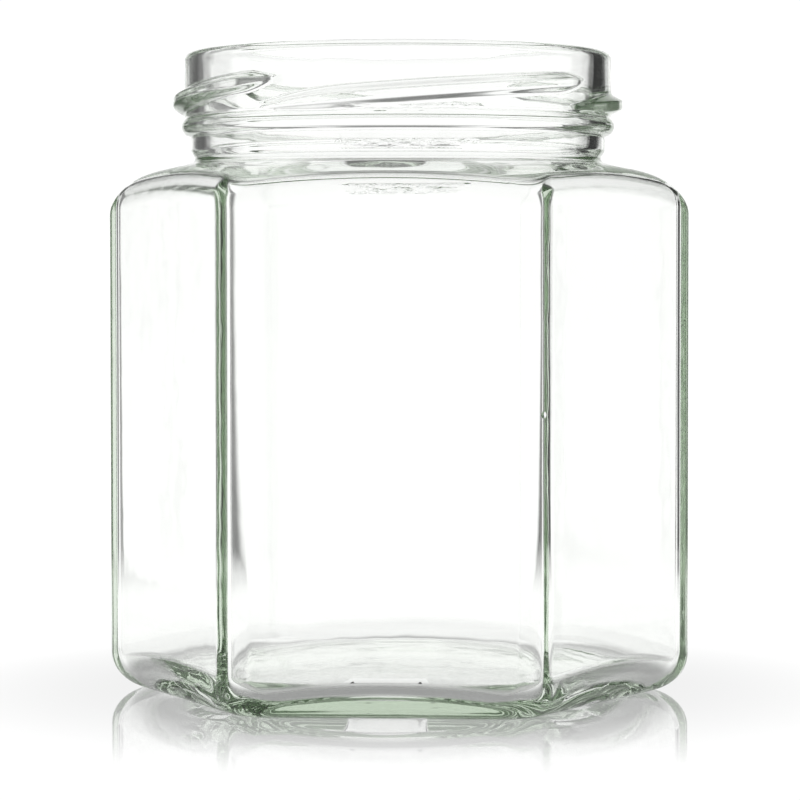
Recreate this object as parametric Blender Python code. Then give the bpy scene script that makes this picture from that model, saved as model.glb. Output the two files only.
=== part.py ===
"""Hexagonal glass jar with a four-lug screw neck, empty and open.

Units are metres and +Z is up. The jar stands on z = 0 with its axis on the Z axis,
two flat sides face +Y and -Y, and two corners point along +X and -X.
"""
import math

import bmesh
import bpy
from mathutils import Vector

# Body
ACROSS_FLATS = 0.0794
CORNER_RADIUS = 0.0055
HEEL_RADIUS = 0.0056
HEEL_CORNER_GROWTH = 0.0010
SHOULDER_RADIUS = 0.0048
SHOULDER_CORNER_GROWTH = 0.0080
SHOULDER_SLOPE = 0.23
SHOULDER_HEIGHT = 0.0816

# Neck, bead and rim
NECK_RADIUS = 0.0320
NECK_ROOT_RADIUS = 0.0314
ROOT_FILLET = 0.0009
BEAD_RADIUS = 0.03345
BEAD_BOTTOM = 0.0858
BEAD_TOP = 0.0887
FINISH_RADIUS = 0.0330
RIM_HEIGHT = 0.0986
RIM_ROUNDING = 0.0012

# Screw lugs, each a short helical ridge with tapered ends
LUG_COUNT = 4
LUG_ARC = math.radians(93)
LUG_START = math.radians(-124)
LUG_LOW = 0.0892
LUG_HIGH = 0.0932
LUG_PROJECTION = 0.00175
LUG_HEIGHT_LOW = 0.0032
LUG_HEIGHT_HIGH = 0.0027
LUG_ROOT_DEPTH = 0.0006
LUG_LEAD_IN = 0.20
LUG_LEAD_OUT = 0.07
LUG_BLUNTNESS = 0.7
LUG_STEPS = 20
LUG_SIDES = 8

# Inside
WALL = 0.0030
SHOULDER_WALL = 0.0027
INNER_CORNER_RADIUS = 0.0036
INNER_SHOULDER_RADIUS = 0.0022
INNER_SHOULDER_CORNER_GROWTH = 0.0060
INNER_HEEL_RADIUS = 0.0052
INNER_HEEL_CORNER_GROWTH = 0.0110
BORE_RADIUS = 0.0303
BORE_ROOT_RADIUS = 0.0298
BORE_FILLET = 0.0025
FLOOR_HEIGHT = 0.0040
FLOOR_CROWN = 0.0030
FLOOR_RADIUS = 0.0330

# Underside: a flat bearing face round a shallow domed recess
RECESS_RADIUS = 0.0310
RECESS_DEPTH = 0.0029

# Mesh density, for each sixth of the way round
ARC_STEPS = 8
FLAT_STEPS = 4
SECTOR_STEPS = ARC_STEPS + FLAT_STEPS
SIDES = 6
ROUND_STEPS = SIDES * SECTOR_STEPS

GLASS_COLOUR = (0.86, 0.95, 0.89, 1.0)
GLASS_ROUGHNESS = 0.03
GLASS_IOR = 1.52

APOTHEM = ACROSS_FLATS / 2
INNER_APOTHEM = APOTHEM - WALL
HALF_SECTOR = math.pi / SIDES


def hexagon_ring(apothem, corner):
    """Plan points of a hexagon with rounded corners, anticlockwise from a corner."""
    core = (apothem - corner) / math.cos(HALF_SECTOR)
    points = []
    for side in range(SIDES):
        turn = side * 2 * HALF_SECTOR
        centre = Vector((core, 0.0))
        half_arc = ARC_STEPS // 2
        sector = []
        for step in range(half_arc + 1):
            angle = HALF_SECTOR * step / half_arc
            sector.append(centre + corner * Vector((math.cos(angle), math.sin(angle))))
        start = sector[-1]
        next_centre = Vector((core * math.cos(2 * HALF_SECTOR), core * math.sin(2 * HALF_SECTOR)))
        end = next_centre + corner * Vector((math.cos(HALF_SECTOR), math.sin(HALF_SECTOR)))
        for step in range(1, FLAT_STEPS + 1):
            sector.append(start.lerp(end, step / FLAT_STEPS))
        for step in range(1, half_arc):
            angle = HALF_SECTOR + HALF_SECTOR * step / half_arc
            sector.append(next_centre + corner * Vector((math.cos(angle), math.sin(angle))))
        for point in sector:
            x = point.x * math.cos(turn) - point.y * math.sin(turn)
            y = point.x * math.sin(turn) + point.y * math.cos(turn)
            points.append(Vector((x, y)))
    return points


def turned_ring(apothem, corner, radius, growth, angle):
    """Plan points where the wall has turned through an angle, its corners rounding as it does."""
    inset = 1 - math.cos(angle)
    return hexagon_ring(apothem - radius * inset, corner + growth * inset)


def circle_ring(radius):
    """Plan points of a circle, with as many points as a hexagon ring."""
    angles = [2 * math.pi * step / ROUND_STEPS for step in range(ROUND_STEPS)]
    return [Vector((radius * math.cos(a), radius * math.sin(a))) for a in angles]


def blend_rings(first, second, share):
    """Plan points part of the way from one ring to another."""
    return [a.lerp(b, share) for a, b in zip(first, second)]


def at_height(ring, height):
    """Lift plan points to one height."""
    return [Vector((p.x, p.y, height)) for p in ring]


def shoulder_slope(point):
    """How far the shoulder has sloped down from its height at the neck, under a plan point."""
    return SHOULDER_SLOPE * (math.hypot(point.x, point.y) - NECK_RADIUS)


def floor_crown(point):
    """How far the domed inside floor stands above its height at FLOOR_RADIUS, at a plan point."""
    return FLOOR_CROWN * (1 - (math.hypot(point.x, point.y) / FLOOR_RADIUS) ** 2)


def on_shoulder(ring, top):
    """Lift plan points on to a shoulder that reaches a height at the neck."""
    return [Vector((p.x, p.y, top - shoulder_slope(p))) for p in ring]


def on_floor(ring, rise):
    """Lift plan points to a height above the inside floor."""
    return [Vector((p.x, p.y, FLOOR_HEIGHT + floor_crown(p) + rise)) for p in ring]


def arc(centre_radius, centre_height, radius, start, end, steps):
    """Points (radius, height) of an arc in the section plane, angles in degrees."""
    points = []
    for step in range(steps + 1):
        angle = math.radians(start + (end - start) * step / steps)
        points.append((centre_radius + radius * math.cos(angle),
                       centre_height + radius * math.sin(angle)))
    return points


def underside_rings():
    """Rings from the middle of the recess out to the bearing face's outer edge."""
    rings = []
    for share in (0.25, 0.5, 0.75, 1.0):
        rings.append(at_height(circle_ring(RECESS_RADIUS * share), RECESS_DEPTH * (1 - share ** 2)))
    corner = CORNER_RADIUS + HEEL_CORNER_GROWTH
    rings.append(at_height(hexagon_ring(APOTHEM - HEEL_RADIUS, corner), 0.0))
    return rings


def outer_body_rings():
    """Rings up the outside from the heel to the foot of the neck."""
    rings = []
    heel_steps = 5
    for step in range(1, heel_steps + 1):
        angle = math.radians(90 - 90 * step / heel_steps)
        ring = turned_ring(APOTHEM, CORNER_RADIUS, HEEL_RADIUS, HEEL_CORNER_GROWTH, angle)
        rings.append(at_height(ring, HEEL_RADIUS * (1 - math.sin(angle))))
    shoulder_steps = 6
    for step in range(shoulder_steps + 1):
        angle = math.radians(90 * step / shoulder_steps)
        drop = SHOULDER_RADIUS * (1 - math.sin(angle))
        ring = turned_ring(APOTHEM, CORNER_RADIUS, SHOULDER_RADIUS, SHOULDER_CORNER_GROWTH, angle)
        rings.append(on_shoulder(ring, SHOULDER_HEIGHT - drop))
    foot = circle_ring(NECK_ROOT_RADIUS + 1.6 * ROOT_FILLET)
    for share in (0.4, 0.75):
        rings.append(on_shoulder(blend_rings(ring, foot, share), SHOULDER_HEIGHT))
    return rings


def finish_rings():
    """Rings up the neck, over the bead and the rim, and down the bore."""
    root = SHOULDER_HEIGHT + ROOT_FILLET
    bead_round = (BEAD_TOP - BEAD_BOTTOM) / 2
    bead_middle = (BEAD_TOP + BEAD_BOTTOM) / 2
    top = RIM_HEIGHT - RIM_ROUNDING
    profile = arc(NECK_ROOT_RADIUS + ROOT_FILLET, root, ROOT_FILLET, 250, 180, 2)
    profile += [(NECK_RADIUS, root + 0.0008), (NECK_RADIUS, BEAD_BOTTOM - 0.0002)]
    profile += arc(BEAD_RADIUS - bead_round, bead_middle, bead_round, -72, 72, 5)
    profile += [(FINISH_RADIUS, BEAD_TOP + 0.0002), (FINISH_RADIUS, top)]
    profile += arc(FINISH_RADIUS - RIM_ROUNDING, top, RIM_ROUNDING, 22, 90, 3)
    profile += arc(BORE_RADIUS + RIM_ROUNDING, top, RIM_ROUNDING, 90, 180, 4)
    profile += [(BORE_ROOT_RADIUS, BEAD_TOP)]
    return [at_height(circle_ring(radius), height) for radius, height in profile]


def inner_rings():
    """Rings from the foot of the bore out along the shoulder, down and across the floor."""
    tilt = math.degrees(math.atan(SHOULDER_SLOPE))
    ceiling = SHOULDER_HEIGHT - SHOULDER_WALL
    fillet_middle = BORE_ROOT_RADIUS + BORE_FILLET
    reach = fillet_middle + BORE_FILLET * math.sin(math.radians(tilt))
    foot = ceiling - SHOULDER_SLOPE * (reach - NECK_RADIUS)
    middle = foot + BORE_FILLET * math.cos(math.radians(tilt))
    turn = arc(fillet_middle, middle, BORE_FILLET, 180, 270 + tilt, 4)
    rings = [at_height(circle_ring(radius), height) for radius, height in turn]

    shoulder = []
    shoulder_steps = 5
    for step in range(shoulder_steps + 1):
        angle = math.radians(90 - 90 * step / shoulder_steps)
        drop = INNER_SHOULDER_RADIUS * (1 - math.sin(angle))
        ring = turned_ring(INNER_APOTHEM, INNER_CORNER_RADIUS, INNER_SHOULDER_RADIUS,
                           INNER_SHOULDER_CORNER_GROWTH, angle)
        shoulder.append(on_shoulder(ring, ceiling - drop))
    edge = [Vector((p.x, p.y)) for p in shoulder[0]]
    rings.append(on_shoulder(blend_rings(circle_ring(reach), edge, 0.5), ceiling))
    rings += shoulder

    heel_steps = 6
    for step in range(heel_steps + 1):
        angle = math.radians(90 * step / heel_steps)
        rise = INNER_HEEL_RADIUS * (1 - math.sin(angle))
        ring = turned_ring(INNER_APOTHEM, INNER_CORNER_RADIUS, INNER_HEEL_RADIUS,
                           INNER_HEEL_CORNER_GROWTH, angle)
        rings.append(on_floor(ring, rise))
    for share in (0.86, 0.66, 0.44, 0.22):
        rings.append(on_floor(circle_ring(FLOOR_RADIUS * share), 0.0))
    return rings


def skin_rings(mesh, rings, first_tip, last_tip):
    """Join rings in order with faces, and close both ends with a fan to a tip."""
    loops = [[mesh.verts.new(point) for point in ring] for ring in rings]
    for lower, upper in zip(loops, loops[1:]):
        for index in range(len(lower)):
            after = (index + 1) % len(lower)
            mesh.faces.new((lower[index], lower[after], upper[after], upper[index]))
    for loop, tip_point, flipped in ((loops[0], first_tip, True), (loops[-1], last_tip, False)):
        tip = mesh.verts.new(tip_point)
        for index in range(len(loop)):
            after = (index + 1) % len(loop)
            corners = (loop[index], loop[after], tip)
            mesh.faces.new(corners[::-1] if flipped else corners)


def new_object(name, mesh):
    """Put a bmesh into the scene as an object with that name."""
    data = bpy.data.meshes.new(name)
    bmesh.ops.recalc_face_normals(mesh, faces=mesh.faces)
    mesh.to_mesh(data)
    mesh.free()
    made = bpy.data.objects.new(name, data)
    bpy.context.scene.collection.objects.link(made)
    return made


def glass_shell(name):
    """The jar without its lugs, as one closed skin over the outside and the inside."""
    mesh = bmesh.new()
    rings = underside_rings() + outer_body_rings() + finish_rings() + inner_rings()
    underside_middle = Vector((0.0, 0.0, RECESS_DEPTH))
    floor_middle = Vector((0.0, 0.0, FLOOR_HEIGHT + FLOOR_CROWN))
    skin_rings(mesh, rings, underside_middle, floor_middle)
    return new_object(name, mesh)


def lug_section(share):
    """Section points (radius, height) of a lug at a share of its length, from bottom to top."""
    swell = math.sin(math.pi * min(share / LUG_LEAD_IN, (1 - share) / LUG_LEAD_OUT, 1.0) / 2)
    height = LUG_HEIGHT_LOW + (LUG_HEIGHT_HIGH - LUG_HEIGHT_LOW) * share
    half_height = height * (0.25 + 0.75 * swell) / 2
    projection = LUG_PROJECTION * (0.12 + 0.88 * swell)
    sunk = FINISH_RADIUS - LUG_ROOT_DEPTH
    points = [(sunk, -half_height)]
    for side in range(1, LUG_SIDES):
        turn = math.pi * (side / LUG_SIDES - 0.5)
        radius = FINISH_RADIUS + projection * math.cos(turn) ** LUG_BLUNTNESS
        points.append((radius, half_height * math.sin(turn)))
    points.append((sunk, half_height))
    return points


def lug(name, start):
    """One helical ridge whose root sinks into the neck wall."""
    mesh = bmesh.new()
    rings = []
    for step in range(LUG_STEPS + 1):
        share = step / LUG_STEPS
        angle = start + LUG_ARC * share
        middle = LUG_LOW + (LUG_HIGH - LUG_LOW) * share
        rings.append([Vector((radius * math.cos(angle), radius * math.sin(angle), middle + rise))
                      for radius, rise in lug_section(share)])
    first_tip = sum(rings[0], Vector()) / len(rings[0])
    last_tip = sum(rings[-1], Vector()) / len(rings[-1])
    skin_rings(mesh, rings, first_tip, last_tip)
    return new_object(name, mesh)


def add_lugs(jar):
    """Unite the lugs with the neck so that the jar is one solid."""
    for number in range(LUG_COUNT):
        ridge = lug("lug", LUG_START + number * 2 * math.pi / LUG_COUNT)
        union = jar.modifiers.new("lug", "BOOLEAN")
        union.operation = "UNION"
        union.solver = "EXACT"
        union.object = ridge
        evaluated = jar.evaluated_get(bpy.context.evaluated_depsgraph_get())
        joined = bpy.data.meshes.new_from_object(evaluated)
        jar.modifiers.clear()
        plain = jar.data
        jar.data = joined
        joined.name = jar.name
        bpy.data.meshes.remove(plain)
        bpy.data.objects.remove(ridge)


def glass_material():
    """Clear soda-lime glass with a faint green cast."""
    material = bpy.data.materials.new("glass")
    material.use_nodes = True
    shader = material.node_tree.nodes["Principled BSDF"]
    shader.inputs["Base Color"].default_value = GLASS_COLOUR
    shader.inputs["Roughness"].default_value = GLASS_ROUGHNESS
    shader.inputs["Metallic"].default_value = 0.0
    shader.inputs["IOR"].default_value = GLASS_IOR
    shader.inputs["Transmission Weight"].default_value = 1.0
    return material


def smooth_over(thing, limit):
    """Shade the surface smooth except across edges sharper than the limit."""
    thing.data.shade_smooth()
    thing.data.set_sharp_from_angle(angle=limit)


def clear_scene():
    """Remove every object of the scene."""
    for thing in list(bpy.data.objects):
        bpy.data.objects.remove(thing, do_unlink=True)


def build_jar():
    """Make the jar."""
    clear_scene()
    jar = glass_shell("jar")
    add_lugs(jar)
    jar.data.materials.clear()
    jar.data.materials.append(glass_material())
    smooth_over(jar, math.radians(40))


build_jar()
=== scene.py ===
"""Looks of the hexagonal glass jar: a finely moulded glass shell, a white studio and the camera."""

import math

import bpy
import numpy as np
from mathutils import Matrix, Vector


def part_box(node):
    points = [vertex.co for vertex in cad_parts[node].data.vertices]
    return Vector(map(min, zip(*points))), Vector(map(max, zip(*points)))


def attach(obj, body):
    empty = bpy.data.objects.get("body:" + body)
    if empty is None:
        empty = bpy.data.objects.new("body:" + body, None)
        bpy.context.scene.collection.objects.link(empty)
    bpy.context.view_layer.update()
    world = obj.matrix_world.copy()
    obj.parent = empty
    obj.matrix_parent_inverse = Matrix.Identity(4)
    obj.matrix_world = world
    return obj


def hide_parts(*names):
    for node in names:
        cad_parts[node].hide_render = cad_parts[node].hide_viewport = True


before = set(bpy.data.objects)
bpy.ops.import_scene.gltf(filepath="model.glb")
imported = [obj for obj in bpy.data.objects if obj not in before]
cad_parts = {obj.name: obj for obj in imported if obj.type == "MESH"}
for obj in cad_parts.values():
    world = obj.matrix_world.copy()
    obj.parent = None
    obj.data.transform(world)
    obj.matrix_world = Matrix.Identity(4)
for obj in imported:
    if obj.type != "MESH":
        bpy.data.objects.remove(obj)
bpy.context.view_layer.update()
JAR_LOW, JAR_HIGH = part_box("jar")

# Body, in metres
ACROSS_FLATS = JAR_HIGH[1] - JAR_LOW[1]
APOTHEM = ACROSS_FLATS / 2
CORNER_RADIUS = 0.0055
HEEL_RADIUS = 0.0056
HEEL_CORNER_GROWTH = 0.0010
SHOULDER_RADIUS = 0.0048
SHOULDER_CORNER_GROWTH = 0.0100
SHOULDER_SLOPE = 0.23
SHOULDER_HEIGHT = 0.0816

# Neck, bead and rim
NECK_RADIUS = 0.0320
NECK_ROOT_RADIUS = 0.0314
ROOT_FILLET = 0.0009
BEAD_RADIUS = 0.03345
BEAD_BOTTOM = 0.0858
BEAD_TOP = 0.0887
FINISH_RADIUS = 0.0330
RIM_HEIGHT = JAR_HIGH[2]
RIM_ROUNDING = 0.0012

# Screw lugs
LUG_COUNT = 4
LUG_ARC = math.radians(93)
LUG_START = math.radians(-124)
LUG_LOW = 0.0892
LUG_HIGH = 0.0932
LUG_PROJECTION = 0.00175
LUG_HEIGHT_LOW = 0.0032
LUG_HEIGHT_HIGH = 0.0027
LUG_LEAD_IN = 0.26
LUG_LEAD_OUT = 0.11
LUG_TIP_HEIGHT_SHARE = 0.25
LUG_CREST_EDGE = 0.35
LUG_FOOT_EDGE = 1.15
LUG_BLEND = 0.0003
LUGS_TOP = 0.0955
LUG_RING_STEP = 0.00014

# Inside
WALL = 0.0030
SHOULDER_WALL = 0.0022
INNER_APOTHEM = APOTHEM - WALL
INNER_CORNER_RADIUS = 0.0036
INNER_SHOULDER_RADIUS = 0.0016
INNER_SHOULDER_CORNER_GROWTH = 0.0060
INNER_HEEL_RADIUS = 0.0044
INNER_HEEL_CORNER_GROWTH = 0.0110
BORE_RADIUS = 0.0303
BORE_ROOT_RADIUS = 0.0298
BORE_FILLET = 0.0012
FLOOR_HEIGHT = 0.0037
FLOOR_CROWN = 0.0030
FLOOR_RADIUS = 0.0330

# Underside
RECESS_RADIUS = 0.0310
RECESS_DEPTH = 0.0029

# Glass
GLASS_IOR = 1.52
GLASS_TINT = (0.31, 0.49, 0.25, 1.0)
GLASS_DENSITY = 9.0
WAVE_SCALE = 90.0
WAVE_STRENGTH = 0.06
WAVE_DEPTH = 0.001

# Marks of moulding on the glass
RIPPLE_MIDDLE = 0.0030
RIPPLE_HALF_WIDTH = 0.0115
RIPPLE_HEIGHTS = (0.0765, 0.0836, 0.0887)
RIPPLE_CORE = 0.0002
RIPPLE_EDGE = 0.0007
RIPPLE_STRETCH = (400.0, 400.0, 2200.0)
RIPPLE_FRONT = -0.030
RIPPLE_BACK = -0.025
SEED_PLACE = (0.0230, -0.0386, 0.0444)
SEED_RADIUS = 0.0005
MARK_DEPTH = 0.0003

# Mesh density, for each sixth of the way round
SIDES = 6
ARC_STEPS = 28
FLAT_STEPS = 20
ROUND_STEPS = SIDES * (ARC_STEPS + FLAT_STEPS)
HALF_SECTOR = math.pi / SIDES

# Camera, from the photograph
FRAME_PIXELS = 800
SENSOR = 36.0
FOCAL_PIXELS = 3135.0
CAMERA_DISTANCE = 0.4876
CAMERA_AZIMUTH = math.radians(3.2)
EYE_HEIGHT = 0.0644
EYE_LINE_PIXEL = 275.0
AXIS_PIXEL = 398.2
CAMERA_ROLL = math.radians(-0.05)

# Dark and dim stretches of the studio. Directions and widths are in degrees of plan,
# anticlockwise from +X, and a stretch sets in as the line of sight rises from start to full.
# Camera rays see plain white instead, so the stretches show only in the glass and the gloss.
RIGHT_FLAG = dict(direction=53, half_width=13, edge=6, darkness=0.92, start=-1.0, full=-0.9)
LEFT_FLAG = dict(direction=126, half_width=9, edge=8, darkness=0.80, start=-1.0, full=-0.9)
REAR_TOP_FLAG = dict(direction=93, half_width=6, edge=9, darkness=0.70, start=0.50, full=0.72)
CAMERA_SIDE = dict(direction=265, half_width=25, edge=65, darkness=0.80, start=0.10, full=0.75)
RIGHT_SIDE = dict(direction=20, half_width=15, edge=30, darkness=0.45, start=0.05, full=0.60)
SKY_STRETCHES = (RIGHT_FLAG, LEFT_FLAG, REAR_TOP_FLAG, CAMERA_SIDE, RIGHT_SIDE)
# The two floor flags are also painted onto the floor as painted shade: its glow dims in their
# directions beyond the lit patch
FLOOR_PAINTED_FLAG_SHADES = (RIGHT_FLAG, LEFT_FLAG)
SKY_LIGHT = 1.05
CEILING_START = 0.82
CEILING_END = 0.95
CEILING_LIGHT = 0.38

# Floor: a white glow, with painted flag shade beyond a lit patch and a painted contact shadow round
# the jar's foot
FLOOR_HALF_SIZE = 3.0
FLOOR_DROP = 0.00002
FLOOR_LIGHT = 1.06
# Painted lit patch round the jar; beyond it the flags' painted shade sets in
FLOOR_LIT_RADIUS = 0.140
FLOOR_FLAG_RADIUS = 0.320
GLOSS = 1.45
GLOSS_IOR = 1.5
GLOSS_START = 0.035
GLOSS_END = 0.100
# Painted contact shadow: the floor's glow is dimmed under the jar, most of all round its heel, and
# clears a little beyond it
UNDER_JAR_RADIUS = 0.028
UNDER_JAR_PAINTED_SHADE_LEVEL = 0.92
HEEL_SHADE_RADIUS = 0.034
HEEL_SHADE_EDGE = 0.006
HEEL_PAINTED_SHADE_LEVEL = 0.42

# Picture
CONTRAST_GAMMA = 0.75
LIGHT_BOUNCES = 64
TRANSPARENT_BOUNCES = 16


def hexagon_ring(apothem, corner):
    """Plan points of a hexagon with rounded corners, anticlockwise from a corner."""
    core = (apothem - corner) / math.cos(HALF_SECTOR)
    half_arc = ARC_STEPS // 2
    turn = 2 * HALF_SECTOR
    first = np.array([core, 0.0])
    second = np.array([core * math.cos(turn), core * math.sin(turn)])
    rising = np.linspace(0.0, HALF_SECTOR, half_arc + 1)
    leaving = np.linspace(HALF_SECTOR, turn, half_arc + 1)[1:-1]
    out = np.stack([np.cos(rising), np.sin(rising)], 1) * corner + first
    back = np.stack([np.cos(leaving), np.sin(leaving)], 1) * corner + second
    normal = np.array([math.cos(HALF_SECTOR), math.sin(HALF_SECTOR)]) * corner
    shares = np.linspace(0.0, 1.0, FLAT_STEPS + 1)[1:, None]
    flat = (first + normal) * (1 - shares) + (second + normal) * shares
    sector = np.concatenate([out, flat, back])
    rings = []
    for side in range(SIDES):
        angle = side * turn
        spin = np.array([[math.cos(angle), math.sin(angle)], [-math.sin(angle), math.cos(angle)]])
        rings.append(sector @ spin)
    return np.concatenate(rings)


def turned_ring(apothem, corner, radius, growth, angle):
    """Plan points where the wall has turned through an angle, its corners rounding as it does."""
    inset = 1 - math.cos(angle)
    return hexagon_ring(apothem - radius * inset, corner + growth * inset)


def circle_ring(radius):
    """Plan points of a circle, with as many points as a hexagon ring."""
    angles = np.arange(ROUND_STEPS) * (2 * math.pi / ROUND_STEPS)
    return np.stack([np.cos(angles), np.sin(angles)], 1) * radius


def at_height(ring, height):
    """Lift plan points to a height, which is one number or one for each point."""
    heights = np.broadcast_to(np.asarray(height, dtype=float), len(ring))
    return np.column_stack([ring, heights])


def shoulder_slope(ring):
    """How far the shoulder has sloped down from its height at the neck, under plan points."""
    return SHOULDER_SLOPE * (np.hypot(ring[:, 0], ring[:, 1]) - NECK_RADIUS)


def floor_crown(ring):
    """How far the domed inside floor stands above its height at FLOOR_RADIUS, at plan points."""
    reach = np.hypot(ring[:, 0], ring[:, 1])
    return FLOOR_CROWN * (1 - (reach / FLOOR_RADIUS) ** 2)


def arc(centre_radius, centre_height, radius, start, end, steps):
    """Points (radius, height) of an arc in the section plane, angles in degrees."""
    angles = np.radians(np.linspace(start, end, steps + 1))
    return [(centre_radius + radius * math.cos(a), centre_height + radius * math.sin(a))
            for a in angles]


def smooth_step(low, high, value):
    """Ease from 0 to 1 between two limits."""
    share = np.clip((value - low) / (high - low), 0.0, 1.0)
    return share * share * (3 - 2 * share)


def lug_swell(height):
    """How far the lugs stand out of the neck at each point round one height."""
    angles = np.arange(ROUND_STEPS) * (2 * math.pi / ROUND_STEPS)
    swell = np.zeros(ROUND_STEPS)
    for number in range(LUG_COUNT):
        start = LUG_START + number * 2 * math.pi / LUG_COUNT
        share = ((angles - start) % (2 * math.pi)) / LUG_ARC
        inside = share <= 1.0
        share = np.clip(share, 0.0, 1.0)
        lead = np.minimum(np.minimum(share / LUG_LEAD_IN, (1 - share) / LUG_LEAD_OUT), 1.0)
        taper = np.sin(math.pi * lead / 2)
        tip = LUG_TIP_HEIGHT_SHARE + (1 - LUG_TIP_HEIGHT_SHARE) * taper
        middle = LUG_LOW + (LUG_HIGH - LUG_LOW) * share
        half = (LUG_HEIGHT_LOW + (LUG_HEIGHT_HIGH - LUG_HEIGHT_LOW) * share) * tip / 2
        away = np.abs(height - middle) / half
        ridge = LUG_PROJECTION * taper * (1 - smooth_step(LUG_CREST_EDGE, LUG_FOOT_EDGE, away))
        swell = np.maximum(swell, np.where(inside, ridge, 0.0))
    return swell


def finish_ring(radius, height):
    """A ring of the neck's outside, with the lugs standing out where they pass it."""
    swell = FINISH_RADIUS + lug_swell(height)
    gap = np.clip(0.5 + 0.5 * (swell - radius) / LUG_BLEND, 0.0, 1.0)
    radii = radius * (1 - gap) + swell * gap + LUG_BLEND * gap * (1 - gap)
    radii = np.where(swell > FINISH_RADIUS + 1e-6, radii, radius)
    return at_height(circle_ring(1.0) * radii[:, None], height)


def underside_rings():
    """Rings from the middle of the round recess out to the bearing face's outer edge."""
    rings = []
    for share in np.linspace(0.08, 1.0, 24):
        rise = RECESS_DEPTH * (1 - share ** 2)
        rings.append(at_height(circle_ring(RECESS_RADIUS * share), rise))
    edge = rings[-1][:, :2]
    outer = hexagon_ring(APOTHEM - HEEL_RADIUS, CORNER_RADIUS + HEEL_CORNER_GROWTH)
    for share in np.linspace(0.0, 1.0, 5)[1:]:
        rings.append(at_height(edge * (1 - share) + outer * share, 0.0))
    return rings


def outer_body_rings():
    """Rings up the outside from the heel to the foot of the neck."""
    rings = []
    for angle in np.radians(np.linspace(90, 0, 13))[1:]:
        ring = turned_ring(APOTHEM, CORNER_RADIUS, HEEL_RADIUS, HEEL_CORNER_GROWTH, angle)
        rings.append(at_height(ring, HEEL_RADIUS * (1 - math.sin(angle))))
    wall = hexagon_ring(APOTHEM, CORNER_RADIUS)
    top = SHOULDER_HEIGHT - SHOULDER_RADIUS - shoulder_slope(wall)
    for share in np.linspace(0, 1, 13)[1:-1]:
        rings.append(at_height(wall, HEEL_RADIUS * (1 - share) + top * share))
    for angle in np.radians(np.linspace(0, 90, 15)):
        ring = turned_ring(APOTHEM, CORNER_RADIUS, SHOULDER_RADIUS, SHOULDER_CORNER_GROWTH, angle)
        drop = SHOULDER_RADIUS * (1 - math.sin(angle))
        rings.append(at_height(ring, SHOULDER_HEIGHT - shoulder_slope(ring) - drop))
    edge = rings[-1][:, :2]
    foot = circle_ring(NECK_ROOT_RADIUS + 1.3 * ROOT_FILLET)
    for share in np.linspace(0, 1, 8)[1:]:
        ring = edge * (1 - share) + foot * share
        rings.append(at_height(ring, SHOULDER_HEIGHT - shoulder_slope(ring)))
    return rings


def finish_rings():
    """Rings up the neck, over the bead, lugs and rim, and down the bore."""
    root = SHOULDER_HEIGHT + ROOT_FILLET
    bead_round = (BEAD_TOP - BEAD_BOTTOM) / 2
    bead_middle = (BEAD_TOP + BEAD_BOTTOM) / 2
    top = RIM_HEIGHT - RIM_ROUNDING
    profile = arc(NECK_ROOT_RADIUS + ROOT_FILLET, root, ROOT_FILLET, 250, 180, 6)
    profile += [(NECK_RADIUS - 0.0001, root + 0.0007), (NECK_RADIUS, root + 0.0011)]
    profile += [(NECK_RADIUS, h) for h in np.linspace(root + 0.0016, BEAD_BOTTOM - 0.0001, 6)]
    profile += arc(BEAD_RADIUS - bead_round, bead_middle, bead_round, -75, 70, 16)
    profile += [(FINISH_RADIUS, h) for h in np.arange(BEAD_TOP + 0.0001, LUGS_TOP, LUG_RING_STEP)]
    profile += [(FINISH_RADIUS, h) for h in np.linspace(LUGS_TOP + 0.0002, top, 6)]
    profile += arc(FINISH_RADIUS - RIM_ROUNDING, top, RIM_ROUNDING, 10, 90, 9)
    rings = [finish_ring(radius, height) for radius, height in profile]
    bore = arc(BORE_RADIUS + RIM_ROUNDING, top, RIM_ROUNDING, 90, 180, 9)
    bore += [(BORE_RADIUS + (BORE_ROOT_RADIUS - BORE_RADIUS) * share,
              top + (BEAD_BOTTOM - 0.001 - top) * share) for share in np.linspace(0, 1, 10)[1:]]
    rings += [at_height(circle_ring(radius), height) for radius, height in bore]
    return rings


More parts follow.
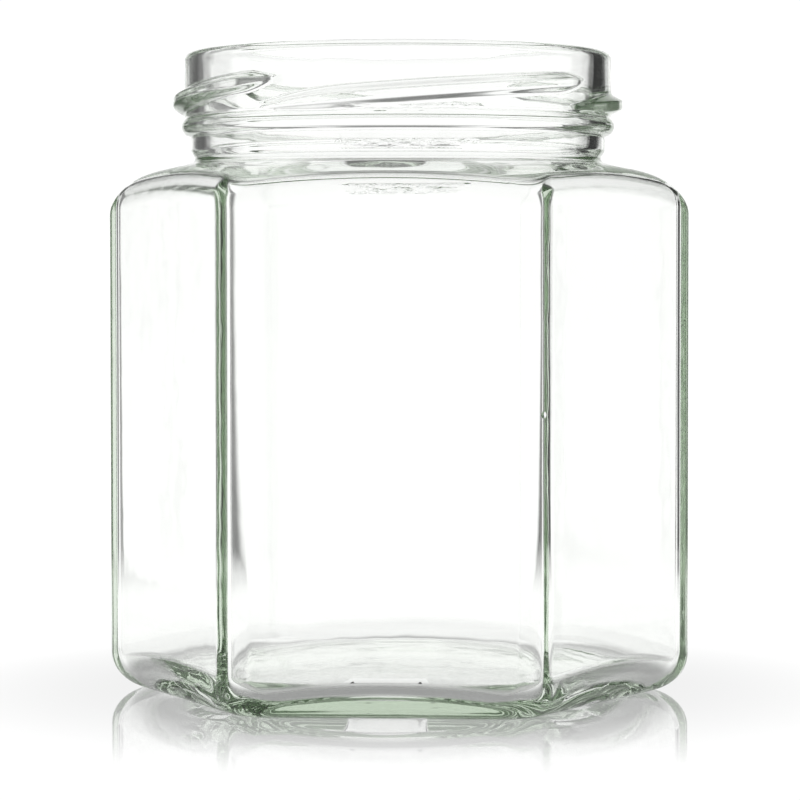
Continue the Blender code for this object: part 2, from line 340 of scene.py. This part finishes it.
def inner_rings():
    """Rings from the foot of the bore out along the shoulder, down and across the floor."""
    tilt = math.degrees(math.atan(SHOULDER_SLOPE))
    ceiling = SHOULDER_HEIGHT - SHOULDER_WALL
    fillet_middle = BORE_ROOT_RADIUS + BORE_FILLET
    reach = fillet_middle + BORE_FILLET * math.sin(math.radians(tilt))
    foot = ceiling - SHOULDER_SLOPE * (reach - NECK_RADIUS)
    middle = foot + BORE_FILLET * math.cos(math.radians(tilt))
    turn = arc(fillet_middle, middle, BORE_FILLET, 180, 270 + tilt, 12)
    rings = [at_height(circle_ring(radius), height) for radius, height in turn]

    shoulder = []
    for angle in np.radians(np.linspace(90, 0, 15)):
        ring = turned_ring(INNER_APOTHEM, INNER_CORNER_RADIUS, INNER_SHOULDER_RADIUS,
                           INNER_SHOULDER_CORNER_GROWTH, angle)
        drop = INNER_SHOULDER_RADIUS * (1 - math.sin(angle))
        shoulder.append(at_height(ring, ceiling - shoulder_slope(ring) - drop))
    edge = shoulder[0][:, :2]
    for share in (0.25, 0.5, 0.75):
        ring = circle_ring(reach) * (1 - share) + edge * share
        rings.append(at_height(ring, ceiling - shoulder_slope(ring)))
    rings += shoulder

    wall = hexagon_ring(INNER_APOTHEM, INNER_CORNER_RADIUS)
    top = rings[-1][:, 2]
    bottom = FLOOR_HEIGHT + floor_crown(wall) + INNER_HEEL_RADIUS
    for share in np.linspace(0, 1, 17)[1:-1]:
        rings.append(at_height(wall, top * (1 - share) + bottom * share))
    for angle in np.radians(np.linspace(0, 90, 19)):
        ring = turned_ring(INNER_APOTHEM, INNER_CORNER_RADIUS, INNER_HEEL_RADIUS,
                           INNER_HEEL_CORNER_GROWTH, angle)
        rise = INNER_HEEL_RADIUS * (1 - math.sin(angle))
        rings.append(at_height(ring, FLOOR_HEIGHT + floor_crown(ring) + rise))
    edge = rings[-1][:, :2]
    disc = circle_ring(FLOOR_RADIUS)
    for ring in [edge * 0.5 + disc * 0.5] + [disc * share for share in np.linspace(1.0, 0.1, 8)]:
        rings.append(at_height(ring, FLOOR_HEIGHT + floor_crown(ring)))
    return rings


def skin(name, rings, first_tip, last_tip):
    """One closed mesh object over rings in order, with a fan to a tip at both ends."""
    points = [first_tip] + [tuple(p) for ring in rings for p in ring] + [last_tip]
    faces = []
    count = ROUND_STEPS
    after = [(index + 1) % count for index in range(count)]
    faces += [(0, 1 + after[i], 1 + i) for i in range(count)]
    for row in range(len(rings) - 1):
        low = 1 + row * count
        high = low + count
        faces += [(low + i, low + after[i], high + after[i], high + i) for i in range(count)]
    last_row = 1 + (len(rings) - 1) * count
    tip = len(points) - 1
    faces += [(last_row + i, last_row + after[i], tip) for i in range(count)]
    mesh = bpy.data.meshes.new(name)
    mesh.from_pydata(points, [], faces)
    mesh.shade_smooth()
    made = bpy.data.objects.new(name, mesh)
    bpy.context.scene.collection.objects.link(made)
    return made


def math_node(nodes, links, operation, first, second=None):
    """A Math node whose inputs are numbers or sockets; returns its output."""
    node = nodes.new("ShaderNodeMath")
    node.operation = operation
    for socket, value in zip(node.inputs, (first, second)):
        if value is None:
            continue
        if isinstance(value, (int, float)):
            socket.default_value = value
        else:
            links.new(value, socket)
    return node.outputs["Value"]


def map_range(nodes, links, value, start, end, low, high):
    """Ease a socket's value from one number to another between two limits."""
    node = nodes.new("ShaderNodeMapRange")
    node.interpolation_type = "SMOOTHSTEP"
    for name, number in zip(("From Min", "From Max", "To Min", "To Max"), (start, end, low, high)):
        node.inputs[name].default_value = number
    links.new(value, node.inputs["Value"])
    return node.outputs["Result"]


def blend_values(nodes, links, share, first, second):
    """A socket that goes from a first value to a second one as the share goes from 0 to 1."""
    node = nodes.new("ShaderNodeMix")
    node.data_type = "FLOAT"
    for name, value in (("Factor", share), ("A", first), ("B", second)):
        if isinstance(value, float):
            node.inputs[name].default_value = value
        else:
            links.new(value, node.inputs[name])
    return node.outputs["Result"]


def plan_direction(nodes, links, vector):
    """The level direction of a vector socket, one unit long."""
    level = nodes.new("ShaderNodeVectorMath")
    level.operation = "MULTIPLY"
    level.inputs[1].default_value = (1.0, 1.0, 0.0)
    links.new(vector, level.inputs[0])
    unit = nodes.new("ShaderNodeVectorMath")
    unit.operation = "NORMALIZE"
    links.new(level.outputs["Vector"], unit.inputs[0])
    return unit.outputs["Vector"]


def light_past(nodes, links, plan, stretch):
    """The share of light left in a plan direction by one dark stretch."""
    middle = math.radians(stretch["direction"])
    inner = math.radians(stretch["half_width"])
    outer = inner + math.radians(stretch["edge"])
    toward = nodes.new("ShaderNodeVectorMath")
    toward.operation = "DOT_PRODUCT"
    toward.inputs[1].default_value = (math.cos(middle), math.sin(middle), 0.0)
    links.new(plan, toward.inputs[0])
    return map_range(nodes, links, toward.outputs["Value"], math.cos(outer), math.cos(inner),
                     1.0, 1.0 - stretch["darkness"])


def glass_jar():
    """The whole jar as one skin of glass."""
    rings = underside_rings() + outer_body_rings() + finish_rings() + inner_rings()
    jar = skin("glass_jar", rings, (0.0, 0.0, RECESS_DEPTH), (0.0, 0.0, FLOOR_HEIGHT + FLOOR_CROWN))
    jar.data.materials.append(glass_material())
    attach(jar, "root")
    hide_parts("jar")


def glass_material():
    """Clear soda-lime glass: faint green in depth, with the fine ripple of moulded glass."""
    material = bpy.data.materials.new("glass")
    material.use_nodes = True
    nodes = material.node_tree.nodes
    links = material.node_tree.links
    shader = nodes["Principled BSDF"]
    output = nodes["Material Output"]
    shader.inputs["Base Color"].default_value = (1.0, 1.0, 1.0, 1.0)
    shader.inputs["Transmission Weight"].default_value = 1.0
    shader.inputs["Roughness"].default_value = 0.0
    shader.inputs["IOR"].default_value = GLASS_IOR
    depth = nodes.new("ShaderNodeVolumeAbsorption")
    depth.inputs["Color"].default_value = GLASS_TINT
    depth.inputs["Density"].default_value = GLASS_DENSITY
    links.new(depth.outputs["Volume"], output.inputs["Volume"])
    place = nodes.new("ShaderNodeTexCoord")
    ripple = nodes.new("ShaderNodeTexNoise")
    ripple.inputs["Scale"].default_value = WAVE_SCALE
    ripple.inputs["Detail"].default_value = 2.0
    bump = nodes.new("ShaderNodeBump")
    bump.inputs["Strength"].default_value = WAVE_STRENGTH
    bump.inputs["Distance"].default_value = WAVE_DEPTH
    links.new(place.outputs["Object"], ripple.inputs["Vector"])
    links.new(ripple.outputs["Fac"], bump.inputs["Height"])
    marks = nodes.new("ShaderNodeBump")
    marks.inputs["Strength"].default_value = 1.0
    marks.inputs["Distance"].default_value = MARK_DEPTH
    links.new(moulding_marks(nodes, links, place.outputs["Object"]), marks.inputs["Height"])
    links.new(bump.outputs["Normal"], marks.inputs["Normal"])
    links.new(marks.outputs["Normal"], shader.inputs["Normal"])
    return material


def moulding_marks(nodes, links, place):
    """Height of the chill ripples across the front and of one small seed by a front corner."""
    split = nodes.new("ShaderNodeSeparateXYZ")
    links.new(place, split.inputs["Vector"])
    offset = math_node(nodes, links, "SUBTRACT", split.outputs["X"], RIPPLE_MIDDLE)
    away = math_node(nodes, links, "ABSOLUTE", offset)
    across = map_range(nodes, links, away, RIPPLE_HALF_WIDTH / 2, RIPPLE_HALF_WIDTH, 1.0, 0.0)
    front = map_range(nodes, links, split.outputs["Y"], RIPPLE_FRONT, RIPPLE_BACK, 1.0, 0.0)
    patch = math_node(nodes, links, "MULTIPLY", across, front)
    rows = None
    for height in RIPPLE_HEIGHTS:
        lift = math_node(nodes, links, "SUBTRACT", split.outputs["Z"], height)
        gap = math_node(nodes, links, "ABSOLUTE", lift)
        row = map_range(nodes, links, gap, RIPPLE_CORE, RIPPLE_EDGE, 1.0, 0.0)
        rows = row if rows is None else math_node(nodes, links, "MAXIMUM", rows, row)
    stretch = nodes.new("ShaderNodeMapping")
    stretch.inputs["Scale"].default_value = RIPPLE_STRETCH
    links.new(place, stretch.inputs["Vector"])
    waves = nodes.new("ShaderNodeTexNoise")
    waves.inputs["Scale"].default_value = 1.0
    links.new(stretch.outputs["Vector"], waves.inputs["Vector"])
    ripple = math_node(nodes, links, "MULTIPLY", waves.outputs["Fac"], rows)
    ripple = math_node(nodes, links, "MULTIPLY", ripple, patch)
    reach = nodes.new("ShaderNodeVectorMath")
    reach.operation = "DISTANCE"
    reach.inputs[1].default_value = SEED_PLACE
    links.new(place, reach.inputs[0])
    seed = map_range(nodes, links, reach.outputs["Value"], 0.0, SEED_RADIUS, 1.0, 0.0)
    return math_node(nodes, links, "MAXIMUM", ripple, seed)


def floor_material():
    """White gloss acrylic, whose mirror image of the jar fades a short way in front of it. Its
    white glow carries painted light for rays other than camera rays: a painted contact shadow under
    and round the jar's foot, and painted flag shade beyond a lit patch in two directions.
    """
    material = bpy.data.materials.new("white_gloss_floor")
    material.use_nodes = True
    nodes = material.node_tree.nodes
    links = material.node_tree.links
    nodes.remove(nodes["Principled BSDF"])
    output = nodes["Material Output"]
    white = nodes.new("ShaderNodeEmission")
    white.inputs["Color"].default_value = (1.0, 1.0, 1.0, 1.0)
    gloss = nodes.new("ShaderNodeBsdfGlossy")
    gloss.inputs["Roughness"].default_value = 0.0
    place = nodes.new("ShaderNodeTexCoord")
    length = nodes.new("ShaderNodeVectorMath")
    length.operation = "LENGTH"
    sheen = nodes.new("ShaderNodeFresnel")
    sheen.inputs["IOR"].default_value = GLOSS_IOR
    mix = nodes.new("ShaderNodeMixShader")
    links.new(place.outputs["Object"], length.inputs[0])
    reach = length.outputs["Value"]
    fade = map_range(nodes, links, reach, GLOSS_START, GLOSS_END, GLOSS, 0.0)
    # Painted flag shade: beyond the lit patch the floor's glow dims in the two flags' directions
    painted_lit_patch = map_range(nodes, links, reach, FLOOR_LIT_RADIUS, FLOOR_FLAG_RADIUS, 1.0, 0.0)
    # Painted contact shadow under and round the jar's foot
    shade = map_range(nodes, links, reach, UNDER_JAR_RADIUS, HEEL_SHADE_RADIUS,
                      UNDER_JAR_PAINTED_SHADE_LEVEL, HEEL_PAINTED_SHADE_LEVEL)
    clear = map_range(nodes, links, reach, HEEL_SHADE_RADIUS + HEEL_SHADE_EDGE,
                      HEEL_SHADE_RADIUS + 2 * HEEL_SHADE_EDGE, 0.0, 1.0)
    painted_contact_shade = blend_values(nodes, links, clear, shade, 1.0)
    plan = plan_direction(nodes, links, place.outputs["Object"])
    painted_flag_shade = 1.0
    for stretch in FLOOR_PAINTED_FLAG_SHADES:
        painted_flag_shade = math_node(nodes, links, "MULTIPLY", light_past(nodes, links, plan, stretch), painted_flag_shade)
    path = nodes.new("ShaderNodeLightPath")
    lit = math_node(nodes, links, "MAXIMUM", painted_lit_patch, painted_flag_shade)
    lit = math_node(nodes, links, "MULTIPLY", lit, painted_contact_shade)
    lit = math_node(nodes, links, "MAXIMUM", lit, path.outputs["Is Camera Ray"])
    strength = math_node(nodes, links, "MULTIPLY", lit, FLOOR_LIGHT)
    links.new(strength, white.inputs["Strength"])
    mirror = math_node(nodes, links, "MULTIPLY", fade, sheen.outputs["Fac"])
    links.new(mirror, mix.inputs["Fac"])
    links.new(white.outputs["Emission"], mix.inputs[1])
    links.new(gloss.outputs["BSDF"], mix.inputs[2])
    links.new(mix.outputs["Shader"], output.inputs["Surface"])
    return material


def studio_floor():
    """A wide white floor at the jar's foot."""
    half = FLOOR_HALF_SIZE
    mesh = bpy.data.meshes.new("floor")
    plan = [(-half, -half), (half, -half), (half, half), (-half, half)]
    corners = [(x, y, -FLOOR_DROP) for x, y in plan]
    mesh.from_pydata(corners, [], [(0, 1, 2, 3)])
    floor = bpy.data.objects.new("floor", mesh)
    bpy.context.scene.collection.objects.link(floor)
    mesh.materials.append(floor_material())


def studio_world():
    """White all round, with dark and dim stretches and a dim ceiling that only the glass shows."""
    world = bpy.data.worlds.new("studio")
    world.use_nodes = True
    nodes = world.node_tree.nodes
    links = world.node_tree.links
    background = nodes["Background"]
    place = nodes.new("ShaderNodeTexCoord")
    split = nodes.new("ShaderNodeSeparateXYZ")
    links.new(place.outputs["Generated"], split.inputs["Vector"])
    plan = plan_direction(nodes, links, place.outputs["Generated"])
    lit = SKY_LIGHT
    for stretch in SKY_STRETCHES:
        left = light_past(nodes, links, plan, stretch)
        climb = map_range(nodes, links, split.outputs["Z"], stretch["start"], stretch["full"],
                          0.0, 1.0)
        share = blend_values(nodes, links, climb, 1.0, left)
        lit = math_node(nodes, links, "MULTIPLY", share, lit)
    ceiling = map_range(nodes, links, split.outputs["Z"], CEILING_START, CEILING_END, 0.0, 1.0)
    lit = blend_values(nodes, links, ceiling, lit, CEILING_LIGHT)
    path = nodes.new("ShaderNodeLightPath")
    seen = math_node(nodes, links, "MAXIMUM", lit, path.outputs["Is Camera Ray"])
    links.new(seen, background.inputs["Strength"])
    background.inputs["Color"].default_value = (1.0, 1.0, 1.0, 1.0)
    bpy.context.scene.world = world


def studio_camera():
    """The photograph's viewpoint: a long lens a little below the rim and right of the middle."""
    data = bpy.data.cameras.new("camera")
    data.sensor_width = SENSOR
    data.lens = SENSOR * FOCAL_PIXELS / FRAME_PIXELS
    camera = bpy.data.objects.new("camera", data)
    bpy.context.scene.collection.objects.link(camera)
    place = Vector((CAMERA_DISTANCE * math.sin(CAMERA_AZIMUTH),
                    -CAMERA_DISTANCE * math.cos(CAMERA_AZIMUTH), EYE_HEIGHT))
    middle = FRAME_PIXELS / 2
    yaw = math.atan((middle - AXIS_PIXEL) / FOCAL_PIXELS)
    pitch = math.atan((middle - EYE_LINE_PIXEL) / FOCAL_PIXELS)
    turn = Matrix.Rotation(CAMERA_AZIMUTH - yaw, 4, "Z")
    tilt = Matrix.Rotation(math.pi / 2 - pitch, 4, "X")
    roll = Matrix.Rotation(CAMERA_ROLL, 4, "Z")
    camera.matrix_world = Matrix.Translation(place) @ turn @ tilt @ roll
    bpy.context.scene.camera = camera


def render_settings():
    """Plain colour, a little more contrast, and enough light bounces for the glass edges."""
    scene = bpy.context.scene
    scene.view_settings.view_transform = "Standard"
    scene.view_settings.gamma = CONTRAST_GAMMA
    scene.cycles.max_bounces = LIGHT_BOUNCES
    scene.cycles.transmission_bounces = LIGHT_BOUNCES
    scene.cycles.glossy_bounces = LIGHT_BOUNCES
    scene.cycles.transparent_max_bounces = TRANSPARENT_BOUNCES


glass_jar()
studio_floor()
studio_world()
studio_camera()
render_settings()
